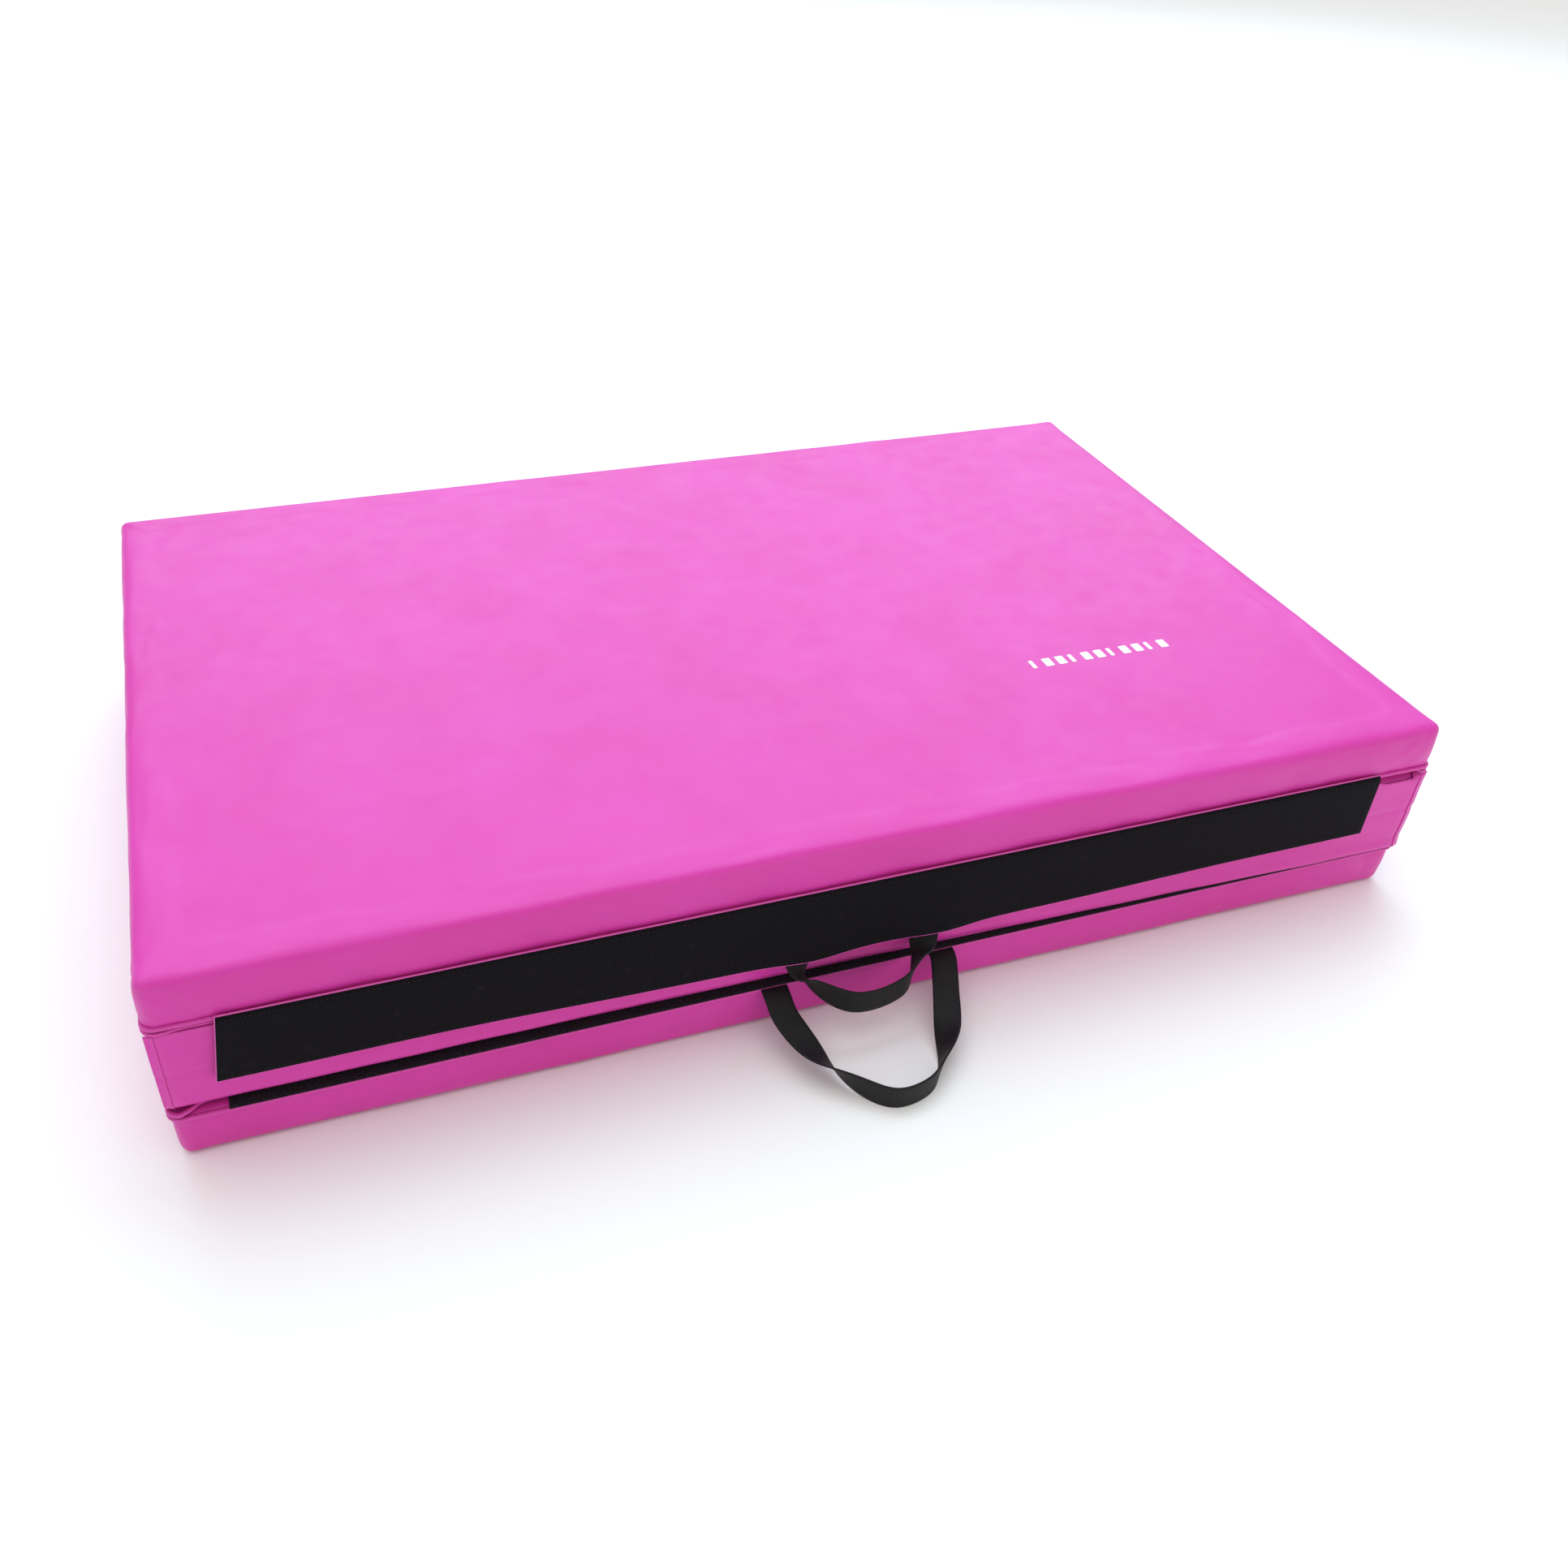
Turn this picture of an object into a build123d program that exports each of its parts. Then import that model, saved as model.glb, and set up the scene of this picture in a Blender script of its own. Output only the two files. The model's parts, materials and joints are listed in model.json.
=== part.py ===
"""Folding gym mat: four foam panels in vinyl covers, folded accordion fashion into a stack.

+X runs along the panels, the free ends and the handles face -Y, and +Z is up. The origin is the centre of
the bottom panel's face, on the floor. Panel 1 is on top and panel 4 is on the floor.
"""

import os
from math import cos, pi, sin

from build123d import *

# Driving dimensions, in millimetres
panel_length = 1219.2
panel_width = 762.0
panel_pitch = 50.8  # from one panel's face to the next one's, in the stack
stack_gap = 1.6  # air between two stacked panels
cover_wall = 0.8
edge_radius = 10.0  # round between a panel's face and its side walls
corner_radius = 13.5  # round between two side walls
lip_reach = 3.0  # how far the seam lip stands out of the side wall
seam_layer_gap = 0.2  # between what is sewn into one seam
slot_slack = 0.05  # round each strip or tail, where it passes through the seam
strip_thickness = 0.8  # fold strips and the flap's header
strip_inset = 10.0  # how deep a sewn strip goes in behind the side wall
strip_end_margins = (30.0, 30.0)  # from a panel's corners to the ends of a fold strip
fold_clearance = 0.3  # from a seam lip to the line that it folds about
flap_end_margins = (42.0, 66.0)  # from a panel's left and right ends to the flap's ends
flap_drop = 72.0
flap_thickness = 1.0
flap_hem = 2.5  # vinyl above and below the hook tape
flap_lean = 5.0  # degrees that the handle behind it holds the flap off the stack
hang_clearance = 0.5  # between the seam lips, the handle that hangs in front of them, and the flap
hook_tape_thickness = 1.4
loop_tape_width = 50.0
loop_tape_thickness = 1.0
loop_tape_end_margins = (46.0, 66.0)
webbing_width = 25.0
webbing_thickness = 1.6
tail_inset = 30.0  # how deep a handle's tail goes in behind the side wall
strap_stations = 24  # cross sections along each handle loop
floor_clearance = 0.3  # under the lower loop's bight

# Sizes that follow
panel_height = panel_pitch - stack_gap
half_length = panel_length / 2
half_width = panel_width / 2
lip_edge = half_width + lip_reach
tail_low = cover_wall
strip_low = tail_low + webbing_thickness + seam_layer_gap
lip_height = strip_low + strip_thickness + seam_layer_gap
panel_bottoms = {number: (4 - number) * panel_pitch for number in (1, 2, 3, 4)}
face_down = (2, 4)
front = -1  # signs of Y
back = 1

# How far the loops hang. The lower loop's bight stands on its edge, just over the floor.
loop_root = hang_clearance + webbing_thickness / 2  # from a seam lip to where a loop starts
bight_drop = panel_height - tail_low - webbing_thickness / 2 - webbing_width / 2 - floor_clearance

# The handle loops' centre lines. X runs along the seam, out is how far in front of the seam lip, and
# up is the height over the tail in the seam, so down is negative. Both bights stand on their edges.
lower_loop = [
    (-90, loop_root, 0),
    (-90, 9, -0.06 * bight_drop),
    (-87, 31, -0.37 * bight_drop),
    (-70, 71, -0.75 * bight_drop),
    (-42, 106, -0.98 * bight_drop),
    (-18, 123.5, -bight_drop),
    (14, 119, -bight_drop),
    (36, 100, -0.98 * bight_drop),
    (54, 71, -0.75 * bight_drop),
    (69, 33, -0.32 * bight_drop),
    (77, 10, -0.06 * bight_drop),
    (78, loop_root, 0),
]
upper_loop = [
    (-86, loop_root, -1),
    (-85, loop_root, -11),
    (-80, loop_root + 0.5, -flap_drop / 2 - 1),
    (-74, loop_root + 2.2, 6 - flap_drop),
    (-65, loop_root + 14.7, -flap_drop - 16),
    (-29, loop_root + 40.7, -flap_drop - 29),
    (20, loop_root + 36.7, -flap_drop - 28),
    (45, loop_root + 14.7, -flap_drop - 15),
    (56, loop_root + 2.2, 6 - flap_drop),
    (67, loop_root + 0.5, -flap_drop / 2 - 1),
    (73, loop_root, -11),
    (74, loop_root, -1),
]


def boxed(x, y, z):
    """A box from its three spans."""
    size = [high - low for low, high in (x, y, z)]
    middle = [(low + high) / 2 for low, high in (x, y, z)]
    return Pos(*middle) * Box(*size)


def slab(inset, low, high):
    """A panel-shaped plate, with rounded corners, set in from the side walls."""
    outline = RectangleRounded(panel_length - 2 * inset, panel_width - 2 * inset, corner_radius - inset)
    return Pos(0, 0, low) * extrude(outline, high - low)


def pillow(inset, low, high):
    """A slab whose upper edge is rounded, like a panel with its face up."""
    block = slab(inset, low, high)
    return fillet(block.edges().group_by(Axis.Z)[-1], edge_radius - inset)


def placed(number, piece):
    """Moves a piece, made face up with its backing at Z 0, to its place in the stack."""
    if number in face_down:
        return Pos(0, 0, panel_bottoms[number] + panel_height) * mirror(piece, about=Plane.XY)
    return Pos(0, 0, panel_bottoms[number]) * piece


def seam_box(x, side, inset, z, slack):
    """What passes through a seam: from inside the wall out to the lip's edge, grown by a slack."""
    inner = half_width - cover_wall - inset - slack
    y = sorted((side * inner, side * (lip_edge + slack)))
    return boxed((x[0] - slack, x[1] + slack), y, (z[0] - slack, z[1] + slack))


def span(end_margins):
    """Where a strip along the panel begins and ends."""
    return (end_margins[0] - half_length, half_length - end_margins[1])


def seam_strip(side, end_margins, slack):
    """A strip of vinyl sewn into a panel's seam."""
    return [seam_box(span(end_margins), side, strip_inset, (strip_low, strip_low + strip_thickness), slack)]


def handle_tails(loop, slack):
    """The two ends of a webbing handle, flat inside a panel's front seam."""
    z = (tail_low + slot_slack, tail_low + webbing_thickness)
    tails = []
    for end in (loop[0], loop[-1]):
        x = (end[0] - webbing_width / 2, end[0] + webbing_width / 2)
        tails.append(seam_box(x, front, tail_inset, z, slack))
    return tails


def sewn_in(number, slack):
    """What is sewn into a panel's seam, or the slots for it when a slack is given."""
    sewn = {f"back_fold_strip_{number}": seam_strip(back, strip_end_margins, slack)}
    if number == 1:
        sewn["flap_header"] = seam_strip(front, flap_end_margins, slack)
        sewn["upper_handle_tails"] = handle_tails(upper_loop, slack)
    if number == 4:
        sewn["lower_handle_tails"] = handle_tails(lower_loop, slack)
    return sewn


def panel_pieces(number):
    """Every piece of one panel, still face up with its backing at Z 0."""
    foam = pillow(cover_wall, cover_wall, panel_height - cover_wall)
    cover = pillow(0, cover_wall, panel_height) - foam
    lip = slab(-lip_reach, 0, lip_height) - slab(0, 0, lip_height)
    for slots in sewn_in(number, slot_slack).values():
        for slot in slots:
            foam -= slot
            cover -= slot
            lip -= slot

    pieces = {
        f"foam_core_{number}": foam,
        f"cover_{number}": cover,
        f"backing_sheet_{number}": slab(0, 0, cover_wall),
        f"seam_lip_{number}": lip,
    }
    for name, sewn in sewn_in(number, 0).items():
        pieces[name] = Compound(children=sewn)
    return pieces


def front_band_half():
    """Half of the band over panels 2 and 3, from the seam lip to the fold line, made like its panel."""
    reach = half_length - corner_radius
    top = panel_height + stack_gap / 2 - fold_clearance
    return boxed((-reach, reach), (-half_width - cover_wall, -half_width), (lip_height, top))


def loop_tape():
    """The loop tape on panel 4's backing sheet, along its free end."""
    return boxed(span(loop_tape_end_margins), (-half_width, loop_tape_width - half_width), (-loop_tape_thickness, 0))


def flap_pieces():
    """The connector flap and its hook tape, hanging in front of the upper handle's legs."""
    inner = hang_clearance + webbing_thickness + hang_clearance
    outer = inner + flap_thickness
    flap = boxed(span(flap_end_margins), (-outer, -inner), (-flap_drop, 0))
    tape_span = (-outer - hook_tape_thickness, -outer)
    tape = boxed(span(flap_end_margins), tape_span, (flap_hem - flap_drop, -flap_hem))
    top = Pos(0, -lip_edge, panel_bottoms[1] + lip_height) * Rot(-flap_lean, 0, 0)
    return {"connector_flap": top * flap, "hook_tape": top * tape}


def eased(value, start, end):
    """Runs from 0 at start to 1 at end, with soft ends."""
    share = min(max((value - start) / (end - start), 0), 1)
    return share * share * (3 - 2 * share)


def strap(points, twist_start, twist_end):
    """A webbing loop along a centre line. It is flat at the seam and turned on its edge in the bight."""
    path = Spline(*points)
    sections = []
    for station in range(strap_stations + 1):
        along = station / strap_stations
        turn = pi / 2 * (eased(along, twist_start, twist_end) + eased(along, 1 - twist_end, 1 - twist_start))
        tangent = path.tangent_at(along)
        width_way = Vector(cos(turn), 0, -sin(turn))
        width_way = (width_way - tangent * width_way.dot(tangent)).normalized()
        plane = Plane(origin=path.position_at(along), x_dir=width_way, z_dir=tangent)
        sections.append(plane * Rectangle(webbing_width, webbing_thickness))
    return loft(sections, ruled=True)


def handle_loop(number, points):
    """A handle's loop, placed from the seam of its panel."""
    over_bottom = tail_low + webbing_thickness / 2
    if number in face_down:
        over_bottom = panel_height - over_bottom
    seam = panel_bottoms[number] + over_bottom
    route = [(x, -lip_edge - out, seam + up) for x, out, up in points]
    return strap(route, 0.12, 0.42)


def build():
    """Every node of the mat, by name."""
    nodes = {}
    for number in (1, 2, 3, 4):
        for name, piece in panel_pieces(number).items():
            nodes[name] = placed(number, piece)
    nodes["front_band_upper"] = placed(2, front_band_half())
    nodes["front_band_lower"] = placed(3, front_band_half())
    nodes["loop_tape"] = placed(4, loop_tape())
    nodes |= flap_pieces()
    nodes["upper_handle_loop"] = handle_loop(1, upper_loop)
    nodes["lower_handle_loop"] = handle_loop(4, lower_loop)
    return nodes


os.makedirs("parts", exist_ok=True)
for node_name, solid in build().items():
    export_step(solid, f"parts/{node_name}.step")
    print("wrote", node_name)
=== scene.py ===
import json
from math import cos, exp, pi, radians, sin

import bmesh
import bpy
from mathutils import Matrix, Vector, noise


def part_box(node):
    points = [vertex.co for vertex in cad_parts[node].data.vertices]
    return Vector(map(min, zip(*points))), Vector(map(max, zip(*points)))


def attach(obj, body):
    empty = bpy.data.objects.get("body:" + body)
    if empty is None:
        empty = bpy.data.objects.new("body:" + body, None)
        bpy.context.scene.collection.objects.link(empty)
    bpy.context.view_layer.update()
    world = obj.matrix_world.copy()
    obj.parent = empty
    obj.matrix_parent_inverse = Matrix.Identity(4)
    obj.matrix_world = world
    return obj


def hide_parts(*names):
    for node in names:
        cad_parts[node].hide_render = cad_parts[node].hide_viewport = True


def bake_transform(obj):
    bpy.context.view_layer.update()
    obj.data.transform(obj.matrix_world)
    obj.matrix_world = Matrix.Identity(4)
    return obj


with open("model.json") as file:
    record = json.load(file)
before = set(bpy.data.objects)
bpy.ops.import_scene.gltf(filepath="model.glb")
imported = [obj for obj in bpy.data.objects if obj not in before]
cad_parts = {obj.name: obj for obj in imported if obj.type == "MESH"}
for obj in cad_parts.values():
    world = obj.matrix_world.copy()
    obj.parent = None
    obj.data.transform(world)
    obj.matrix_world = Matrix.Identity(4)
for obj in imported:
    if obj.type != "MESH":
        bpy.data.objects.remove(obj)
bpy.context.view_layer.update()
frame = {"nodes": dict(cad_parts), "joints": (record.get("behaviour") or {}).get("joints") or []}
print("frame loaded,", len(frame["nodes"]), "nodes")

panels = (1, 2, 3, 4)
faceDown = (2, 4)
mm = 0.001
tiny = 1e-6


def newObject(name, verts, faces, material, uvs=None):
    mesh = bpy.data.meshes.new(name)
    mesh.from_pydata([tuple(v) for v in verts], [], faces)
    if uvs is not None:
        layer = mesh.uv_layers.new(name="lengths")
        for loop in mesh.loops:
            layer.data[loop.index].uv = uvs[loop.vertex_index]
    for polygon in mesh.polygons:
        polygon.use_smooth = True
    obj = bpy.data.objects.new(name, mesh)
    bpy.context.scene.collection.objects.link(obj)
    obj.data.materials.append(material)
    return obj


def turnOut(obj):
    # every face looks outward
    work = bmesh.new()
    work.from_mesh(obj.data)
    bmesh.ops.recalc_face_normals(work, faces=work.faces)
    work.to_mesh(obj.data)
    work.free()


def soften(obj, levels=1):
    smooth = obj.modifiers.new("soften", "SUBSURF")
    smooth.levels = levels
    smooth.render_levels = levels
    graph = bpy.context.evaluated_depsgraph_get()
    mesh = bpy.data.meshes.new_from_object(obj.evaluated_get(graph))
    obj.modifiers.clear()
    obj.data = mesh


def spread(low, high, fine, coarse, reach):
    # grid lines that are close together near both ends and wider apart between
    count = round(reach / fine)
    ends = [low + fine * i for i in range(count)]
    inner = max(2, round((high - low - 2 * reach) / coarse))
    middle = [low + reach + (high - low - 2 * reach) * i / inner for i in range(inner + 1)]
    return ends + middle + [low + high - e for e in reversed(ends)]


def evenly(low, high, step):
    count = max(2, round(abs(high - low) / step))
    return [low + (high - low) * i / count for i in range(count + 1)]


def sheetOf(name, us, vs, place, thickness, material):
    # a closed sheet of cloth: place(u, v) is its middle, and u and v are lengths along the flat cloth
    d = 0.4 * mm  # a short step, for the way that the cloth faces
    verts = []
    uvs = []
    for side in (0.5, -0.5):
        for u in us:
            for v in vs:
                p = place(u, v)
                along = place(u + d, v) - place(u - d, v)
                down = place(u, v + d) - place(u, v - d)
                verts.append(p + along.cross(down).normalized() * thickness * side)
                uvs.append((u, v))
    rows, columns = len(us), len(vs)
    under = rows * columns
    faces = []
    for i in range(rows - 1):
        for j in range(columns - 1):
            a = i * columns + j
            quad = (a, a + 1, a + columns + 1, a + columns)
            faces.append(quad)
            faces.append(tuple(under + q for q in reversed(quad)))
    for j in range(columns - 1):
        last = (rows - 1) * columns + j
        faces.append((j, j + under, j + 1 + under, j + 1))
        faces.append((last, last + 1, last + 1 + under, last + under))
    for i in range(rows - 1):
        a = i * columns
        b = a + columns - 1
        faces.append((a, a + columns, a + columns + under, a + under))
        faces.append((b, b + under, b + columns + under, b + columns))
    obj = newObject(name, verts, faces, material, uvs)
    turnOut(obj)
    return obj


stitch = {"long": 2.8 * mm, "wide": 0.6 * mm, "proud": 0.45}  # proud is a share of the width


def stitchRow(name, spots, material):
    # spots are (middle, way along the seam, way out of the cloth)
    verts = []
    faces = []
    for middle, along, out in spots:
        side = along.cross(out).normalized() * stitch["wide"] / 2
        up = out.normalized() * stitch["wide"] * stitch["proud"]
        tip = along.normalized() * stitch["long"] / 2
        base = len(verts)
        verts += [middle - tip, middle + side, middle + up, middle - side, middle - up, middle + tip]
        for i in range(4):
            j = (i + 1) % 4
            faces.append((base, base + 1 + j, base + 1 + i))
            faces.append((base + 5, base + 1 + i, base + 1 + j))
    obj = newObject(name, verts, faces, material)
    turnOut(obj)
    return obj


def eased(value, start, end):
    share = min(max((value - start) / (end - start), 0), 1)
    return share * share * (3 - 2 * share)


def hump(value, centre, reach):
    return exp(-((value - centre) / reach) ** 2)


def ripple(x, y, z, scale, seed):
    return noise.noise(Vector((x * scale + seed, y * scale, z * scale)))


def nodeKit(name):
    material = bpy.data.materials.new(name)
    material.use_nodes = True
    tree = material.node_tree
    tree.nodes.clear()
    shader = tree.nodes.new("ShaderNodeBsdfPrincipled")
    output = tree.nodes.new("ShaderNodeOutputMaterial")
    tree.links.new(shader.outputs["BSDF"], output.inputs["Surface"])
    return material, tree, shader


def link(tree, source, target):
    tree.links.new(source, target)


def noiseNode(tree, coords, scale, detail=2.0):
    node = tree.nodes.new("ShaderNodeTexNoise")
    node.inputs["Scale"].default_value = scale
    node.inputs["Detail"].default_value = detail
    link(tree, coords, node.inputs["Vector"])
    return node.outputs["Fac"]


def mixColours(tree, factor, first, second):
    node = tree.nodes.new("ShaderNodeMix")
    node.data_type = "RGBA"
    link(tree, factor, node.inputs["Factor"])
    for socket, colour in ((node.inputs[6], first), (node.inputs[7], second)):  # the colour pair, A and B
        if isinstance(colour, bpy.types.NodeSocket):
            link(tree, colour, socket)
        else:
            socket.default_value = (*colour, 1)
    return node.outputs[2]


def ranged(tree, value, fromLow, fromHigh, toLow, toHigh):
    node = tree.nodes.new("ShaderNodeMapRange")
    node.inputs["From Min"].default_value = fromLow
    node.inputs["From Max"].default_value = fromHigh
    node.inputs["To Min"].default_value = toLow
    node.inputs["To Max"].default_value = toHigh
    link(tree, value, node.inputs["Value"])
    return node.outputs["Result"]


def bumps(tree, shader, layers):
    # each layer is (height, strength, distance), one bump on top of another
    previous = None
    for height, strength, distance in layers:
        node = tree.nodes.new("ShaderNodeBump")
        node.inputs["Strength"].default_value = strength
        node.inputs["Distance"].default_value = distance
        link(tree, height, node.inputs["Height"])
        if previous is not None:
            link(tree, previous, node.inputs["Normal"])
        previous = node.outputs["Normal"]
    link(tree, previous, shader.inputs["Normal"])


vinylLook = {
    "grain": 850.0,  # leather grain cells to a metre
    "slack": 9.0,  # soft waves to a metre
    "scuff": 38.0,  # rubbed patches to a metre
    "edges": (0.51, 0.56, 0.35),  # where the painted highlight along sharp edges begins and is full, and how much paler it gets
    "rougher": (-0.05, 0.07),
    "specular": 0.30,
    "coat": (0.05, 0.3),  # weight and roughness
    "slackBump": (0.35, 0.004),  # strength and height in metres
    "scuffBump": (0.12, 0.0012),
    "grainBump": (0.35, 0.00012),
}


def vinyl(name, colour, deep, rough):
    material, tree, shader = nodeKit(name)
    coords = tree.nodes.new("ShaderNodeTexCoord").outputs["Object"]
    clouds = noiseNode(tree, coords, vinylLook["slack"], 3.0)
    mottled = mixColours(tree, ranged(tree, clouds, 0.35, 0.65, 0, 1), colour, deep)
    scuffs = noiseNode(tree, coords, vinylLook["scuff"], 5.0)
    geometry = tree.nodes.new("ShaderNodeNewGeometry")
    # a paler colour along sharp convex edges, such as the rounded panel edges and the seam lips, is a painted
    # highlight
    begins, full, paler = vinylLook["edges"]
    highlightRim = ranged(tree, geometry.outputs["Pointiness"], begins, full, 0, paler)
    paintedEdgeHighlight = mixColours(tree, highlightRim, mottled, vinylColours["paintedEdgeHighlight"])
    link(tree, paintedEdgeHighlight, shader.inputs["Base Color"])
    smoother, duller = vinylLook["rougher"]
    link(tree, ranged(tree, scuffs, 0.3, 0.7, rough + smoother, rough + duller), shader.inputs["Roughness"])
    shader.inputs["Specular IOR Level"].default_value = vinylLook["specular"]
    shader.inputs["Coat Weight"].default_value = vinylLook["coat"][0]
    shader.inputs["Coat Roughness"].default_value = vinylLook["coat"][1]
    cells = tree.nodes.new("ShaderNodeTexVoronoi")
    cells.feature = "SMOOTH_F1"
    cells.inputs["Scale"].default_value = vinylLook["grain"]
    link(tree, coords, cells.inputs["Vector"])
    bumps(tree, shader, [
        (clouds, *vinylLook["slackBump"]),
        (scuffs, *vinylLook["scuffBump"]),
        (cells.outputs["Distance"], *vinylLook["grainBump"]),
    ])
    return material


def waveOf(tree, coords, axis, scale):
    node = tree.nodes.new("ShaderNodeTexWave")
    node.bands_direction = axis
    node.wave_profile = "SIN"
    node.inputs["Scale"].default_value = scale
    link(tree, coords, node.inputs["Vector"])
    return node.outputs["Fac"]


def multiplied(tree, first, second):
    node = tree.nodes.new("ShaderNodeMath")
    node.operation = "MULTIPLY"
    link(tree, first, node.inputs[0])
    link(tree, second, node.inputs[1])
    return node.outputs["Value"]


webbingLook = {
    "ribs": 95.0,
    "picks": 150.0,
    "fuzz": 700.0,
    "black": (0.004, 0.0035, 0.004),
    "shine": (0.014, 0.0125, 0.0135),
    "rough": (0.52, 0.7),
    "sheen": (0.04, 0.4),  # weight and roughness
    "specular": 0.28,
}


def webbing(name):
    # woven nylon: ribs along the tape, crossed by finer picks
    material, tree, shader = nodeKit(name)
    coords = tree.nodes.new("ShaderNodeTexCoord").outputs["UV"]
    ribs = waveOf(tree, coords, "Y", webbingLook["ribs"])
    picks = waveOf(tree, coords, "X", webbingLook["picks"])
    weave = multiplied(tree, ribs, picks)
    fuzz = noiseNode(tree, coords, webbingLook["fuzz"], 3.0)
    tone = mixColours(tree, weave, webbingLook["black"], webbingLook["shine"])
    link(tree, tone, shader.inputs["Base Color"])
    link(tree, ranged(tree, fuzz, 0.3, 0.7, *webbingLook["rough"]), shader.inputs["Roughness"])
    shader.inputs["Sheen Weight"].default_value = webbingLook["sheen"][0]
    shader.inputs["Sheen Roughness"].default_value = webbingLook["sheen"][1]
    shader.inputs["Specular IOR Level"].default_value = webbingLook["specular"]
    bumps(tree, shader, [(weave, 0.6, 0.0004), (fuzz, 0.2, 0.0002)])
    return material


hookLook = {
    "pitch": 190.0,
    "lint": 60.0,
    "black": (0.0045, 0.0035, 0.0055),
    "hooks": (0.012, 0.010, 0.014),
    "dust": (0.018, 0.015, 0.020),
    "rough": 0.8,
    "specular": 0.1,
}


def hookTape(name):
    # rows of small stiff hooks on a woven ground
    material, tree, shader = nodeKit(name)
    coords = tree.nodes.new("ShaderNodeTexCoord").outputs["UV"]
    rows = waveOf(tree, coords, "Y", hookLook["pitch"])
    posts = waveOf(tree, coords, "X", hookLook["pitch"])
    hooks = multiplied(tree, rows, posts)
    lint = noiseNode(tree, coords, hookLook["lint"], 6.0)
    tone = mixColours(tree, hooks, hookLook["black"], hookLook["hooks"])
    dusty = mixColours(tree, ranged(tree, lint, 0.62, 0.8, 0, 0.5), tone, hookLook["dust"])
    link(tree, dusty, shader.inputs["Base Color"])
    shader.inputs["Roughness"].default_value = hookLook["rough"]
    shader.inputs["Specular IOR Level"].default_value = hookLook["specular"]
    bumps(tree, shader, [(lint, 0.3, 0.001), (hooks, 0.7, 0.0006)])
    return material


napLook = {
    "nap": 420.0,
    "tufts": 45.0,
    "black": (0.005, 0.004, 0.006),
    "tips": (0.028, 0.022, 0.028),
    "rough": 0.9,
    "specular": 0.15,
    "sheen": 0.08,
}


def loopTape(name):
    # a brushed nap of fine loops
    material, tree, shader = nodeKit(name)
    coords = tree.nodes.new("ShaderNodeTexCoord").outputs["UV"]
    nap = noiseNode(tree, coords, napLook["nap"], 6.0)
    tufts = noiseNode(tree, coords, napLook["tufts"], 4.0)
    tone = mixColours(tree, ranged(tree, nap, 0.35, 0.7, 0, 1), napLook["black"], napLook["tips"])
    link(tree, tone, shader.inputs["Base Color"])
    shader.inputs["Roughness"].default_value = napLook["rough"]
    shader.inputs["Specular IOR Level"].default_value = napLook["specular"]
    shader.inputs["Sheen Weight"].default_value = napLook["sheen"]
    bumps(tree, shader, [(tufts, 0.4, 0.0015), (nap, 0.8, 0.0007)])
    return material


inkLook = {"wear": 260.0, "white": (0.86, 0.84, 0.86), "rubbed": (0.80, 0.62, 0.76), "rough": 0.42}


def inkOnVinyl(name):
    material, tree, shader = nodeKit(name)
    coords = tree.nodes.new("ShaderNodeTexCoord").outputs["Object"]
    wear = noiseNode(tree, coords, inkLook["wear"], 4.0)
    tone = mixColours(tree, ranged(tree, wear, 0.45, 0.8, 0, 1), inkLook["white"], inkLook["rubbed"])
    link(tree, tone, shader.inputs["Base Color"])
    shader.inputs["Roughness"].default_value = inkLook["rough"]
    bumps(tree, shader, [(wear, 0.2, 0.0002)])
    return material


threadLook = {"twist": 1500.0, "shade": 0.6, "rough": 0.55}


def threadFinish(name, colour):
    material, tree, shader = nodeKit(name)
    coords = tree.nodes.new("ShaderNodeTexCoord").outputs["Object"]
    twist = noiseNode(tree, coords, threadLook["twist"], 2.0)
    shade = tuple(c * threadLook["shade"] for c in colour)
    link(tree, mixColours(tree, twist, colour, shade), shader.inputs["Base Color"])
    shader.inputs["Roughness"].default_value = threadLook["rough"]
    bumps(tree, shader, [(twist, 0.4, 0.0002)])
    return material


# each vinyl's colour, its deeper patches and how rough it is
vinylColours = {
    "cover": ((0.69, 0.047, 0.40), (0.665, 0.040, 0.36), 0.4),
    "lip": ((0.69, 0.05, 0.385), (0.62, 0.042, 0.35), 0.38),
    "flap": ((0.74, 0.12, 0.45), (0.70, 0.09, 0.42), 0.42),
    # the paler colour of the painted highlight along sharp edges and seam lips
    "paintedEdgeHighlight": (0.76, 0.12, 0.48),
}
threadColours = {"black": (0.02, 0.018, 0.02), "pink": (0.72, 0.12, 0.46)}

coverVinyl = vinyl("coverVinyl", *vinylColours["cover"])
lipVinyl = vinyl("lipVinyl", *vinylColours["lip"])
flapVinyl = vinyl("flapVinyl", *vinylColours["flap"])
blackWebbing = webbing("blackWebbing")
blackHooks = hookTape("blackHooks")
blackLoops = loopTape("blackLoops")
whiteInk = inkOnVinyl("whiteInk")
blackThread = threadFinish("blackThread", threadColours["black"])
pinkThread = threadFinish("pinkThread", threadColours["pink"])
print("finishes made")


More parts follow.
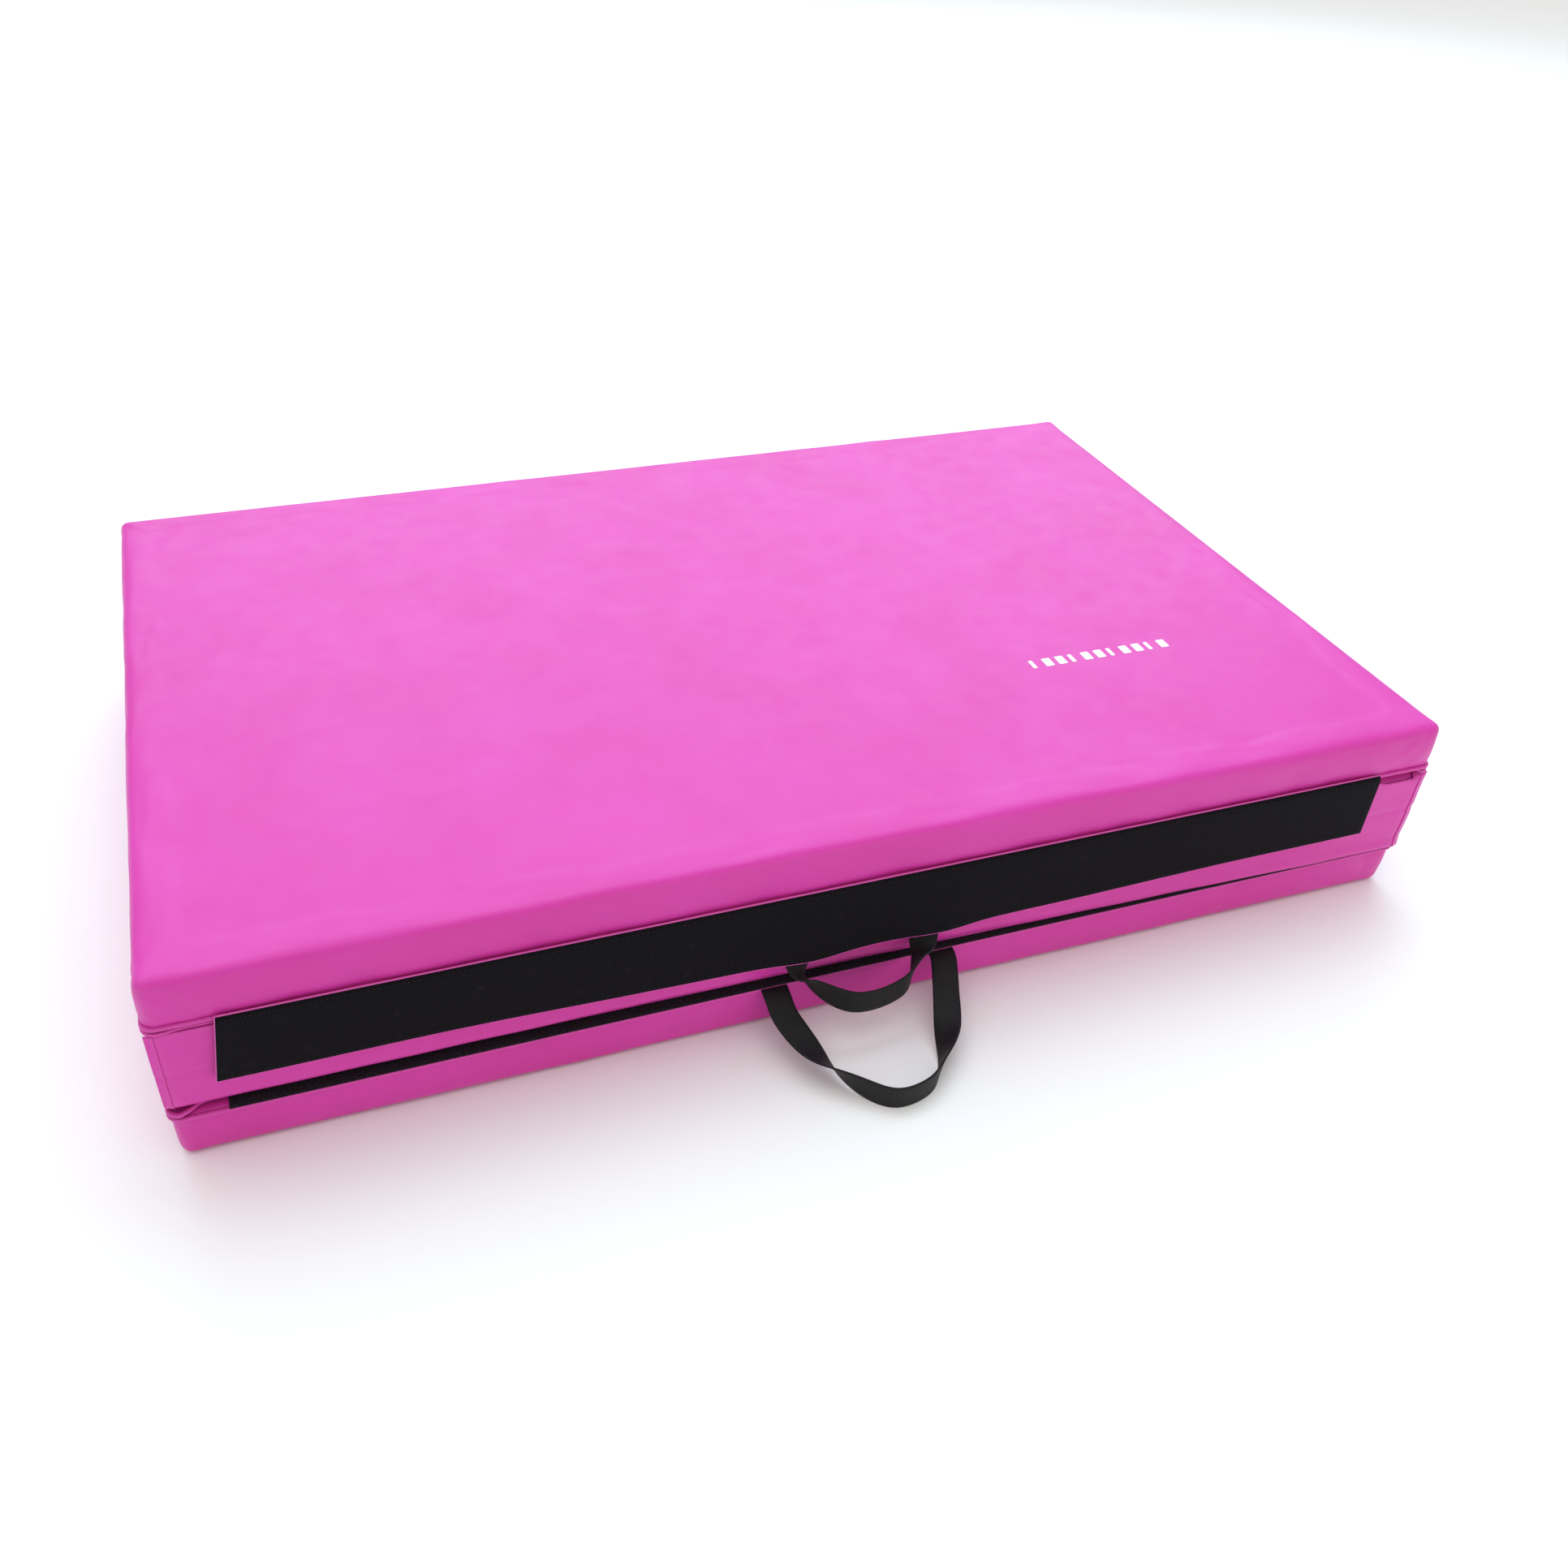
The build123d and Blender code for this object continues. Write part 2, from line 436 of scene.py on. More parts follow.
cover = {
    "faceRound": 7.5 * mm,
    "backRound": 2.2 * mm,
    "crownReach": 0.16,  # how far in from the side walls the face is fully crowned
    "cornerRound": 9.5 * mm,
    "fine": 5 * mm,
    "coarse": 24 * mm,
    "fineReach": 45 * mm,
    "crown": {1: 2.2 * mm, 2: 0.3 * mm, 3: 0.3 * mm, 4: 0.0},
    "wallPuff": 0.8 * mm,
    "pucker": 0.9 * mm,
    "puckerScale": 34.0,
    "puckerBand": (6 * mm, 16 * mm),  # its height over the seam, and how far it spreads
    "tuckHeight": 16 * mm,  # how far up the wall a tuck in the front edge reaches
    "tuckDepth": 90 * mm,  # how far in from the front wall it fades out
    "leftTuck": 9 * mm,
    "leftFade": (-0.42, 0.60),  # where along the mat it fades out
    "rightTuck": 42 * mm,
    "rightBegins": (0.546, 0.556),
    "rightEnds": 0.602,
    "rightHeight": 9 * mm,
    "anchors": (-90 * mm, 78 * mm),  # where the lower handle pulls on the wall
    "anchorPull": 1.1 * mm,
    "anchorWave": 26 * mm,
    "anchorReach": 30 * mm,
    "anchorBand": (4 * mm, 15 * mm),
}

coverBoxes = {n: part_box(f"cover_{n}") for n in panels}
backingBoxes = {n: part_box(f"backing_sheet_{n}") for n in panels}
lipBoxes = {n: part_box(f"seam_lip_{n}") for n in panels}
halfLength = coverBoxes[1][1].x
halfWidth = coverBoxes[1][1].y
panelHeight = coverBoxes[1][1].z - backingBoxes[1][0].z


def profileAt(inset, height, top):
    # how far in and how high a point of the square box moves when the edges are rounded
    r = cover["faceRound"]
    b = cover["backRound"]
    if height > top - r:
        turn = radians(45) * (height - (top - r)) / r
        if inset > 0:
            turn = radians(45) + radians(45) * min(inset / r, 1)
        return (r * (1 - cos(turn)) if inset < r else inset), top - r + r * sin(turn)
    if height < b:
        turn = radians(45) * (b - height) / b
        if inset > 0:
            turn = radians(45) + radians(45) * min(inset / b, 1)
        return (b * (1 - cos(turn)) if inset < b else inset), b - b * sin(turn)
    return inset, height


def cornered(x, y, inset, ring):
    # turns the square ring at an inset into one with round corners
    r = cover["cornerRound"]
    if inset >= r:
        return x, y
    px, py = abs(x) - (halfLength - r), abs(y) - (halfWidth - r)
    sx, sy = (1 if x > 0 else -1), (1 if y > 0 else -1)
    reach = r - inset
    onX = halfLength - abs(x) - inset < tiny
    if px > 0 and py > 0:
        turn = radians(45) * py / reach if onX else radians(90) - radians(45) * px / reach
        return (sx * (halfLength - r + (r - ring) * cos(turn)), sy * (halfWidth - r + (r - ring) * sin(turn)))
    if onX:
        return sx * (halfLength - ring), y
    return x, sy * (halfWidth - ring)


def coverGrid():
    xs = spread(-halfLength, halfLength, cover["fine"], cover["coarse"], cover["fineReach"])
    ys = spread(-halfWidth, halfWidth, cover["fine"], cover["coarse"], cover["fineReach"])
    zs = evenly(0, panelHeight, cover["fine"])
    index = {}
    verts = []
    faces = []

    def at(i, j, k):
        key = (i, j, k)
        if key not in index:
            index[key] = len(verts)
            verts.append((xs[i], ys[j], zs[k]))
        return index[key]

    lastX, lastY, lastZ = len(xs) - 1, len(ys) - 1, len(zs) - 1
    for i in range(lastX):
        for j in range(lastY):
            faces.append((at(i, j, 0), at(i, j + 1, 0), at(i + 1, j + 1, 0), at(i + 1, j, 0)))
            faces.append((at(i, j, lastZ), at(i + 1, j, lastZ), at(i + 1, j + 1, lastZ), at(i, j + 1, lastZ)))
    for k in range(lastZ):
        for i in range(lastX):
            faces.append((at(i, 0, k), at(i + 1, 0, k), at(i + 1, 0, k + 1), at(i, 0, k + 1)))
            faces.append((at(i, lastY, k), at(i, lastY, k + 1), at(i + 1, lastY, k + 1), at(i + 1, lastY, k)))
        for j in range(lastY):
            faces.append((at(0, j, k), at(0, j, k + 1), at(0, j + 1, k + 1), at(0, j + 1, k)))
            faces.append((at(lastX, j, k), at(lastX, j + 1, k), at(lastX, j + 1, k + 1), at(lastX, j, k + 1)))
    return verts, faces


def tuckAt(number, x, fromBacking):
    # the stack's front edge is drawn in under panel 3's left part and over panel 2's right end
    depth = 0
    height = cover["tuckHeight"]
    if number == 3:
        depth = cover["leftTuck"] * (1 - eased(x, *cover["leftFade"]))
    if number == 2:
        depth = cover["rightTuck"] * eased(x, *cover["rightBegins"])
        depth *= 1 - eased(x, cover["rightEnds"], halfLength)
        height = cover["rightHeight"]
    return depth * eased(height - fromBacking, 0, height)


def anchorPulls(x, z):
    # small waves in the vinyl beside each end of the lower handle
    out = 0
    for anchor in cover["anchors"]:
        wave = sin((x - anchor) * 2 * pi / cover["anchorWave"])
        pull = wave * hump(x, anchor, cover["anchorReach"]) * hump(z, *cover["anchorBand"])
        out += cover["anchorPull"] * pull
    return out


def coverPoint(number, x, y, z):
    inset = min(halfLength - abs(x), halfWidth - abs(y))
    ring, height = profileAt(inset, z, panelHeight)
    px, py = cornered(x, y, inset, ring)
    wallHeight = panelHeight - cover["faceRound"]
    onFront = y < -halfWidth + tiny
    out = 0
    if inset < tiny and z < wallHeight and not (onFront and number in (2, 3)):
        out = cover["wallPuff"] * sin(pi * min(max(z / wallHeight, 0), 1))
        crease = ripple(px, py, z * 0.6, cover["puckerScale"], 7 * number)
        out += cover["pucker"] * hump(z, *cover["puckerBand"]) * crease
        if number == 4 and onFront:
            out += anchorPulls(px, z)
    nx = px / halfLength if abs(px) > halfLength - cover["cornerRound"] else 0
    ny = py / halfWidth if abs(py) > halfWidth - cover["cornerRound"] else 0
    size = (nx * nx + ny * ny) ** 0.5 or 1
    crown = cover["crown"][number] * eased(inset, 0, cover["crownReach"]) if z > panelHeight - tiny else 0
    py += tuckAt(number, px, z) * eased(cover["tuckDepth"] - (py + halfWidth), 0, cover["tuckDepth"])
    return px + out * nx / size, py + out * ny / size, height + crown


clothRun = {
    "frames": 20,
    "pressure": 4,
    "quality": 5,
    "mass": 0.25,
    "stretch": 20,
    "shear": 8,
    "bend": 0.4,
    "shrink": -0.012,  # a little spare cloth
    "cap": 0.8 * mm,  # how far a point may move
    "seamHeld": 3.5 * mm,
    "faceHeld": 38 * mm,  # in from the side walls, where the face is glued to the foam
    "bandHeld": 30 * mm,
}


def heldPoints(number, verts):
    # the seam, the backing, the glued middle of the face and what lies under the band stay where they are
    held = []
    for index, (x, y, z) in enumerate(verts):
        inset = min(halfLength - abs(x), halfWidth - abs(y))
        underBand = number in (2, 3) and y < -halfWidth + clothRun["bandHeld"]
        if z < clothRun["seamHeld"] or inset > clothRun["faceHeld"] or underBand:
            held.append(index)
    return held


def simulate(obj, held):
    # a short cloth run with air pressure inside, then every point is kept within the cap
    scene = bpy.context.scene
    group = obj.vertex_groups.new(name="held")
    group.add(held, 1.0, "REPLACE")
    cloth = obj.modifiers.new("cloth", "CLOTH")
    settings = cloth.settings
    settings.quality = clothRun["quality"]
    settings.mass = clothRun["mass"]
    settings.tension_stiffness = clothRun["stretch"]
    settings.compression_stiffness = clothRun["stretch"]
    settings.shear_stiffness = clothRun["shear"]
    settings.bending_stiffness = clothRun["bend"]
    settings.vertex_group_mass = "held"
    settings.shrink_min = clothRun["shrink"]
    settings.use_pressure = True
    settings.uniform_pressure_force = clothRun["pressure"]
    settings.effector_weights.gravity = 0
    cloth.collision_settings.use_collision = False
    cloth.point_cache.frame_start = 1
    cloth.point_cache.frame_end = clothRun["frames"]
    for frameNumber in range(1, clothRun["frames"] + 1):
        scene.frame_set(frameNumber)
    graph = bpy.context.evaluated_depsgraph_get()
    moved = [v.co.copy() for v in obj.evaluated_get(graph).data.vertices]
    obj.modifiers.remove(cloth)
    obj.vertex_groups.clear()
    scene.frame_set(1)
    for vertex, place in zip(obj.data.vertices, moved):
        step = place - vertex.co
        if step.length > clothRun["cap"]:
            step = step.normalized() * clothRun["cap"]
        vertex.co += step


def makeCover(number):
    verts, faces = coverGrid()
    low = backingBoxes[number][0].z
    high = backingBoxes[number][1].z
    shaped = []
    for x, y, z in verts:
        px, py, pz = coverPoint(number, x, y, z)
        shaped.append((px, py, high - pz if number in faceDown else low + pz))
    obj = newObject(f"panelCover{number}", shaped, faces, coverVinyl)
    turnOut(obj)
    simulate(obj, heldPoints(number, verts))
    bottom = high - panelHeight if number in faceDown else low
    crown = 0 if number in faceDown else cover["crown"][number]
    for vertex in obj.data.vertices:
        vertex.co.z = min(max(vertex.co.z, bottom), bottom + panelHeight + crown)
    soften(obj)
    print("cover", number, "made")
    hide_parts(f"cover_{number}", f"backing_sheet_{number}", f"foam_core_{number}")
    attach(obj, f"panel_{number}")


for panelNumber in panels:
    makeCover(panelNumber)


lip = {
    "reach": 3.0 * mm,
    "overlap": 1.2 * mm,  # how far the lip starts inside the wall
    "height": 3.2 * mm,
    "step": 7 * mm,
    "stitch": 4.4 * mm,  # from one stitch to the next
    "stitchInset": 1.5 * mm,
    "waver": 0.35 * mm,
    "tuck": 2.6 * mm,  # how far the band draws the front lips in
    "cornerFree": (30 * mm, 8 * mm),  # from the mat's ends, where that fades out
}


def rimPath(halfX, halfY, radius, step):
    # points and outward directions round a rectangle with round corners
    points = []
    for sx, sy, start in ((1, 1, 0), (-1, 1, 90), (-1, -1, 180), (1, -1, 270)):
        centre = (sx * (halfX - radius), sy * (halfY - radius))
        for degrees in range(0, 90, 10):
            turn = radians(start + degrees)
            out = (cos(turn), sin(turn))
            points.append((centre[0] + radius * out[0], centre[1] + radius * out[1], *out))
        turn = radians(start + 90)
        out = (cos(turn), sin(turn))
        begin = (centre[0] + radius * out[0], centre[1] + radius * out[1])
        length = 2 * (halfX - radius) if start in (0, 180) else 2 * (halfY - radius)
        along = (-out[1], out[0])
        for distance in evenly(0, length, step)[:-1]:
            points.append((begin[0] + along[0] * distance, begin[1] + along[1] * distance, *out))
    return points


def lipTuck(number, x, outY):
    # the front lips of panels 2 and 3 are drawn in under the band
    if number not in (2, 3) or outY > -0.9:
        return 0
    starts, ends = lip["cornerFree"]
    nearCorner = 1 - eased(abs(x), halfLength - starts, halfLength - ends)
    return (lip["tuck"] + tuckAt(number, x, 0)) * nearCorner


def lipWaver(number, x, y):
    return lip["waver"] * ripple(x, y, 0.3 * number, 22, 3)


def lipStitches(number, top):
    spots = []
    for x, y, nx, ny in rimPath(halfLength, halfWidth, cover["cornerRound"], lip["stitch"]):
        out = lip["reach"] - lip["stitchInset"] - lipTuck(number, x, ny)
        spot = Vector((x + nx * out, y + ny * out, top + lipWaver(number, x, y) * 0.6))
        spots.append((spot, Vector((-ny, nx, 0)), Vector((0, 0, 1))))
    row = stitchRow(f"lipStitches{number}", spots, pinkThread)
    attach(row, f"panel_{number}")


def makeLip(number):
    low, high = lipBoxes[number]
    middle = (low.z + high.z) / 2
    path = rimPath(halfLength, halfWidth, cover["cornerRound"], lip["step"])
    profile = []
    reach, over, half = lip["reach"], lip["overlap"], lip["height"] / 2
    for degrees in range(-90, 91, 30):
        turn = radians(degrees)
        profile.append((reach - half + half * cos(turn), half * sin(turn)))
    profile = [(-over, -half)] + profile + [(-over, half)]
    verts = []
    for x, y, nx, ny in path:
        waver = lipWaver(number, x, y)
        sink = lipTuck(number, x, ny)
        for out, up in profile:
            away = out + (waver if out > 0 else 0) - sink
            verts.append((x + nx * away, y + ny * away, middle + up + waver * 0.6))
    count, size = len(path), len(profile)
    faces = []
    for i in range(count):
        here, after = i * size, (i + 1) % count * size
        for j in range(size):
            k = (j + 1) % size
            faces.append((here + j, here + k, after + k, after + j))
    obj = newObject(f"seamLip{number}", verts, faces, lipVinyl)
    turnOut(obj)
    lipStitches(number, middle + half)
    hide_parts(f"seam_lip_{number}")
    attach(obj, f"panel_{number}")


for panelNumber in panels:
    makeLip(panelNumber)
print("seam lips made")


# the band over the side walls of panels 2 and 3
band = {
    "thickness": 0.9 * mm,
    "endMargin": -1.2 * mm,
    "gap": 0.9 * mm,  # in front of the side walls
    "step": 8 * mm,
    "down": 3 * mm,
    "bulge": 0.9 * mm,
    "ripple": 1.1 * mm,
    "sag": 3.4 * mm,  # how much lower the bottom edge hangs at the right
    "sagSpan": (0.05, 0.60),  # where along the mat it comes in
    "kick": 2.2 * mm,  # how far that edge stands out there
    "notch": 6.5 * mm,  # how much lower the top edge is at the right end
    "notchSpan": (0.546, 0.560),
    "notchEnd": (0.592, 0.604, 0.85),  # where it comes back up again, and by what share
    "crease": (1.3 * mm, 3.2 * mm),  # depth and reach of the fold line
    "wrap": (2.2 * mm, 7 * mm, 1 * mm),  # how far the ends turn back, and from where to where
    "hem": 7 * mm,
    "hemStep": 1.2 * mm,
    "bend": 5 * mm,  # above and below the fold line
}
foldHeight = {joint["name"]: joint["pos_m"][2] for joint in frame["joints"]}
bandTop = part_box("front_band_upper")[1].z
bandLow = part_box("front_band_lower")[0].z


def bandPlace(x, drop, offset=0.0):
    share = min(max(drop / (bandTop - bandLow), 0), 1)
    right = eased(x, *band["sagSpan"])
    rises, back, amount = band["notchEnd"]
    notch = band["notch"] * eased(x, *band["notchSpan"]) * (1 - amount * eased(x, rises, back))
    z = bandTop - drop - band["sag"] * right * share - notch * (1 - share)
    out = band["gap"] + offset + band["bulge"] * sin(pi * share)
    depth, reach = band["crease"]
    out -= depth * hump(z, foldHeight["front_fold_23"], reach) * (0.6 + 0.4 * ripple(x, 0, 0, 6, 2))
    out += band["ripple"] * ripple(x, 0, z * 1.5, 13, 5) * eased(drop, 0, 12 * mm)
    out += band["kick"] * right * eased(share, 0.85, 1)
    out -= tuckAt(3, x, max(z - backingBoxes[3][0].z, 0)) + tuckAt(2, x, max(backingBoxes[2][1].z - z, 0))
    turned, before, past = band["wrap"]
    wrap = turned * eased(abs(x), halfLength - before, halfLength + past)
    return Vector((x, -halfWidth - out + wrap, z))


def hemPlace(x, drop):
    # the hem lies on the band
    return bandPlace(x, drop, band["thickness"])


def makeBand():
    reach = halfLength - band["endMargin"]
    drop = bandTop - bandLow
    downs = evenly(0, drop, band["down"])
    obj = sheetOf("frontBand", evenly(-reach, reach, band["step"]), downs,
                  bandPlace, band["thickness"], coverVinyl)
    hems = []
    for side, begin in (("Left", -reach), ("Right", reach - band["hem"])):
        along = evenly(begin, begin + band["hem"], band["hemStep"])
        hems.append(sheetOf(f"bandHem{side}", along, downs, hemPlace, band["thickness"], coverVinyl))
    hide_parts("front_band_upper", "front_band_lower")
    for piece in [obj] + hems:
        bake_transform(piece)


makeBand()
print("front band made")


backFold = {
    "thickness": 0.8 * mm,
    "bulge": 1.9 * mm,
    "hold": 1.2 * mm,  # how far the lips hold its edges in
    "ripple": 0.25 * mm,
    "step": 12 * mm,
    "down": 0.8 * mm,
    "bend": 1.5 * mm,
}


def makeBackFold(lower, upper):
    height = foldHeight[f"back_fold_{upper}{lower}"]
    half = (lipBoxes[upper][1].z - lipBoxes[lower][0].z) / 2
    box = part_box(f"back_fold_strip_{upper}")
    edge = lipBoxes[upper][1].y

    def place(x, drop):
        z = height + half - drop
        share = (z - height) / half
        out = backFold["bulge"] * cos(share * pi / 2) - backFold["hold"] * abs(share)
        return Vector((x, edge + out + backFold["ripple"] * ripple(x, 0, z, 30, upper), z))

    obj = sheetOf(f"backFold{upper}{lower}", evenly(box[0].x, box[1].x, backFold["step"]),
                  evenly(0, 2 * half, backFold["down"]), place, backFold["thickness"], lipVinyl)
    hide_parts(f"back_fold_strip_{upper}", f"back_fold_strip_{lower}")
    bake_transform(obj)


for lowerPanel, upperPanel in ((2, 1), (4, 3)):
    makeBackFold(lowerPanel, upperPanel)
print("back folds made")


# the connector flap with its hook tape
flap = {
    "thickness": 1.0 * mm,
    "tapeThickness": 1.3 * mm,
    "step": 7 * mm,
    "down": 4 * mm,
    "lean": 5.0,  # degrees
    "legs": (-62 * mm, 68 * mm),  # where the upper handle's legs are, at the hem
    "legReach": 36 * mm,
    "push": 4.3 * mm,  # how far those legs push it out
    "wave": 1.6 * mm,
    "waves": 4.5,  # to a metre
    "rise": 2.4 * mm,  # how far over the seam lip it starts
    "roll": (2.3 * mm, 6 * mm),  # how far its top turns in over the lip, and over what drop
    "skew": 10 * mm,  # how far the left end is cut aslant
    "leftEnd": 0.50,  # where that begins
    "shorter": 0.055,  # share of the drop, at the left
    "shorterSpan": (0.05, 0.50),
    "rest": 4.2 * mm,  # how much closer it lies where no handle is behind it
    "restSpan": (0.12, 0.40),
    "topMargin": 0.8 * mm,  # vinyl over and under the tape
    "hem": 1.9 * mm,
    "tapeEnd": 1 * mm,
    "stitchInset": 3 * mm,
    "stitchEnd": 4 * mm,
    "stitchStep": 4.5 * mm,
    "bend": (1 * mm, 7 * mm),  # over and under the seam
}
flapLow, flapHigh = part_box("connector_flap")
flapBack = -flapHigh.y
flapDrop = (flapHigh.z - flapLow.z) / cos(radians(flap["lean"]))


def flapOut(x, drop):
    share = drop / flapDrop
    push = sum(hump(x, leg, flap["legReach"]) for leg in flap["legs"])
    wave = ripple(x, 0.2, 0, flap["waves"], 9) * flap["wave"] + flap["push"] * push
    return wave * max(share, 0) ** 1.4


def flapPlace(x, drop, offset=0.0):
    lean = radians(flap["lean"])
    left = eased(-x, *flap["shorterSpan"])
    share = drop / flapDrop
    length = drop * (1 - flap["shorter"] * left)
    out = flapBack + flap["thickness"] / 2 + length * sin(lean) + flapOut(x, drop) + offset * cos(lean)
    out -= flap["rest"] * eased(abs(x), *flap["restSpan"]) * max(share, 0)
    z = flapHigh.z + flap["rise"] - length * cos(lean) - flapOut(x, drop) * 0.12
    turned, over = flap["roll"]
    roll = turned * eased(over - drop, 0, over)
    shift = flap["skew"] * (1 - share) * eased(-x, flap["leftEnd"], -flapLow.x)
    return Vector((x + shift, -out + roll, z))


def tapePlace(x, drop):
    # the hook tape lies on the flap
    return flapPlace(x, drop, (flap["thickness"] + flap["tapeThickness"]) / 2)


def tapeStitches(edge, drop):
    over = flap["thickness"] / 2 + flap["tapeThickness"] + 0.1 * mm
    spots = []
    for x in evenly(flapLow.x + flap["stitchEnd"], flapHigh.x - flap["stitchEnd"], flap["stitchStep"]):
        spots.append((flapPlace(x, drop, over), Vector((1, 0, 0)), Vector((0, -1, 0))))
    return stitchRow(f"tapeStitches{edge}", spots, blackThread)


def makeFlap():
    left, right = flapLow.x, flapHigh.x
    obj = sheetOf("connectorFlap", evenly(left, right, flap["step"]), evenly(0, flapDrop, flap["down"]),
                  flapPlace, flap["thickness"], flapVinyl)
    tapeTop, tapeLow = flap["topMargin"], flapDrop - flap["hem"]
    tape = sheetOf("hookTapeStrip", evenly(left + flap["tapeEnd"], right - flap["tapeEnd"], flap["step"]),
                   evenly(tapeTop, tapeLow, flap["down"]), tapePlace, flap["tapeThickness"], blackHooks)
    rows = [
        tapeStitches("Top", tapeTop + flap["stitchInset"]),
        tapeStitches("Bottom", tapeLow - flap["stitchInset"]),
    ]
    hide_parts("connector_flap", "flap_header")
    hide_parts("hook_tape")
    for piece in [obj, tape] + rows:
        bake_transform(piece)


makeFlap()
print("flap and hook tape made")


# the loop tape on panel 4
loops = {
    "thickness": 0.9 * mm,
    "step": 10 * mm,
    "across": 3 * mm,
    "overhang": 2.4 * mm,  # past the side wall, over the seam lip
    "dip": 0.5 * mm,
    "waver": 0.12 * mm,
}


def makeLoopStrip():
    low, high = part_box("loop_tape")
    base = low.z + loops["thickness"] / 2

    def place(x, back):
        y = low.y - loops["overhang"] + back
        dip = loops["dip"] * eased(2 * mm - back, 0, 4 * mm)
        return Vector((x, y, base - dip + loops["waver"] * ripple(x, y, 0, 40, 1)))

    width = high.y - low.y + loops["overhang"]
    obj = sheetOf("loopTapeStrip", evenly(low.x, high.x, loops["step"]), evenly(0, width, loops["across"]),
                  place, loops["thickness"], blackLoops)
    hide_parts("loop_tape")
    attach(obj, "panel_4")


makeLoopStrip()
print("loop tape made")


handle = {
    "width": 25 * mm,
    "thickness": 1.6 * mm,
    "twistStart": 0.12,
    "twistEnd": 0.42,
    "stations": 90,
    "across": 2.5 * mm,
    "tailDepth": 4 * mm,
    "tailLift": 1.4 * mm,  # how far the upper tails rise behind the flap
    "curveSteps": 16,
    "upperBend": 12 * mm,  # a length from the seam, for each loop
    "lowerBend": 14 * mm,
}
# centre lines, in millimetres: along the seam, out in front of the lip's edge, and up from the tail
lowerLoop = [
    (-90, 1.3, 0), (-90, 9, -2), (-87, 31, -13), (-70, 71, -26), (-42, 106, -34), (-18, 123.5, -34.8),
    (14, 119, -34.8), (36, 100, -34), (54, 71, -26), (69, 33, -11), (77, 10, -2), (78, 1.3, 0),
]
upperLoop = [
    (-86, 1.3, -1), (-85, 1.3, -11), (-80, 1.8, -37), (-74, 3.5, -66), (-65, 16, -88), (-29, 42, -101),
    (20, 38, -100), (45, 16, -87), (56, 3.5, -66), (67, 1.8, -37), (73, 1.3, -11), (74, 1.3, -1),
]


def curveThrough(points):
    # a smooth curve through the points, read by the share of its length
    knots = [points[0] * 2 - points[1]] + points + [points[-1] * 2 - points[-2]]
    samples = []
    for i in range(1, len(knots) - 2):
        a, b, c, d = knots[i - 1:i + 3]
        for step in range(handle["curveSteps"]):
            t = step / handle["curveSteps"]
            samples.append(0.5 * ((2 * b) + (c - a) * t + (2 * a - 5 * b + 4 * c - d) * t * t
                                  + (3 * b - a - 3 * c + d) * t * t * t))
    samples.append(points[-1])
    lengths = [0.0]
    for first, second in zip(samples, samples[1:]):
        lengths.append(lengths[-1] + (second - first).length)

    def at(share):
        want = min(max(share, 0), 1) * lengths[-1]
        i = 1
        while i < len(lengths) - 1 and lengths[i] < want:
            i += 1
        span = lengths[i] - lengths[i - 1]
        return samples[i - 1].lerp(samples[i], (want - lengths[i - 1]) / span)

    return at, lengths[-1]


def makeHandle(name, route, edge, tailHeight, towards):
    # towards is the way that the strap goes as it leaves the seam
    points = [Vector((x * mm, edge - out * mm, tailHeight + up * mm)) for x, out, up in route]
    lift = handle["tailLift"] if towards == "down" else 0
    root = Vector((0, handle["tailDepth"], lift))
    at, length = curveThrough([points[0] + root] + points + [points[-1] + root])

    def place(along, across):
        share = along / length
        p = at(share)
        tangent = (at(share + 0.004) - at(share - 0.004)).normalized()
        begin, end = handle["twistStart"], handle["twistEnd"]
        turn = pi / 2 * (eased(share, begin, end) + eased(share, 1 - end, 1 - begin))
        way = Vector((cos(turn), 0, -sin(turn)))
        way = (way - tangent * way.dot(tangent)).normalized()
        return p + way * across

    half = handle["width"] / 2
    obj = sheetOf(name, evenly(0, length, length / handle["stations"]), evenly(-half, half, handle["across"]),
                  place, handle["thickness"], blackWebbing)
    return obj


def makeUpperHandle():
    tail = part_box("upper_handle_tails")
    obj = makeHandle("upperHandle", upperLoop, lipEdge, (tail[0].z + tail[1].z) / 2, "down")
    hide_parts("upper_handle_loop", "upper_handle_tails")
    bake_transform(obj)


def makeLowerHandle():
    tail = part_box("lower_handle_tails")
    obj = makeHandle("lowerHandle", lowerLoop, lipEdge, (tail[0].z + tail[1].z) / 2, "out")
    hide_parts("lower_handle_loop", "lower_handle_tails")
    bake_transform(obj)


lipEdge = lipBoxes[1][0].y
makeUpperHandle()
makeLowerHandle()
print("handles made")


# the printed mark is a plain row of bars
mark = {
    "left": 0.714,  # where it begins, as shares of the panel's length and width
    "front": 0.262,
    "length": 168 * mm,
    "height": 14 * mm,
    "bars": 11,
    "wide": 0.62,  # bar widths, as shares of the pitch
    "narrow": 0.3,
    "round": 1.4 * mm,
    "ink": 0.25 * mm,
    "sunk": 0.3 * mm,
}


def barOutline(left, front, width):
    # a bar with round corners
    r = mark["round"]
    outline = []
    for cx, cy, start in ((1, 1, 0), (0, 1, 90), (0, 0, 180), (1, 0, 270)):
        for degrees in (0, 30, 60, 90):
            turn = radians(start + degrees)
            x = left + r + cx * (width - 2 * r) + r * cos(turn)
            y = front + r + cy * (mark["height"] - 2 * r) + r * sin(turn)
            outline.append((x, y))
    return outline


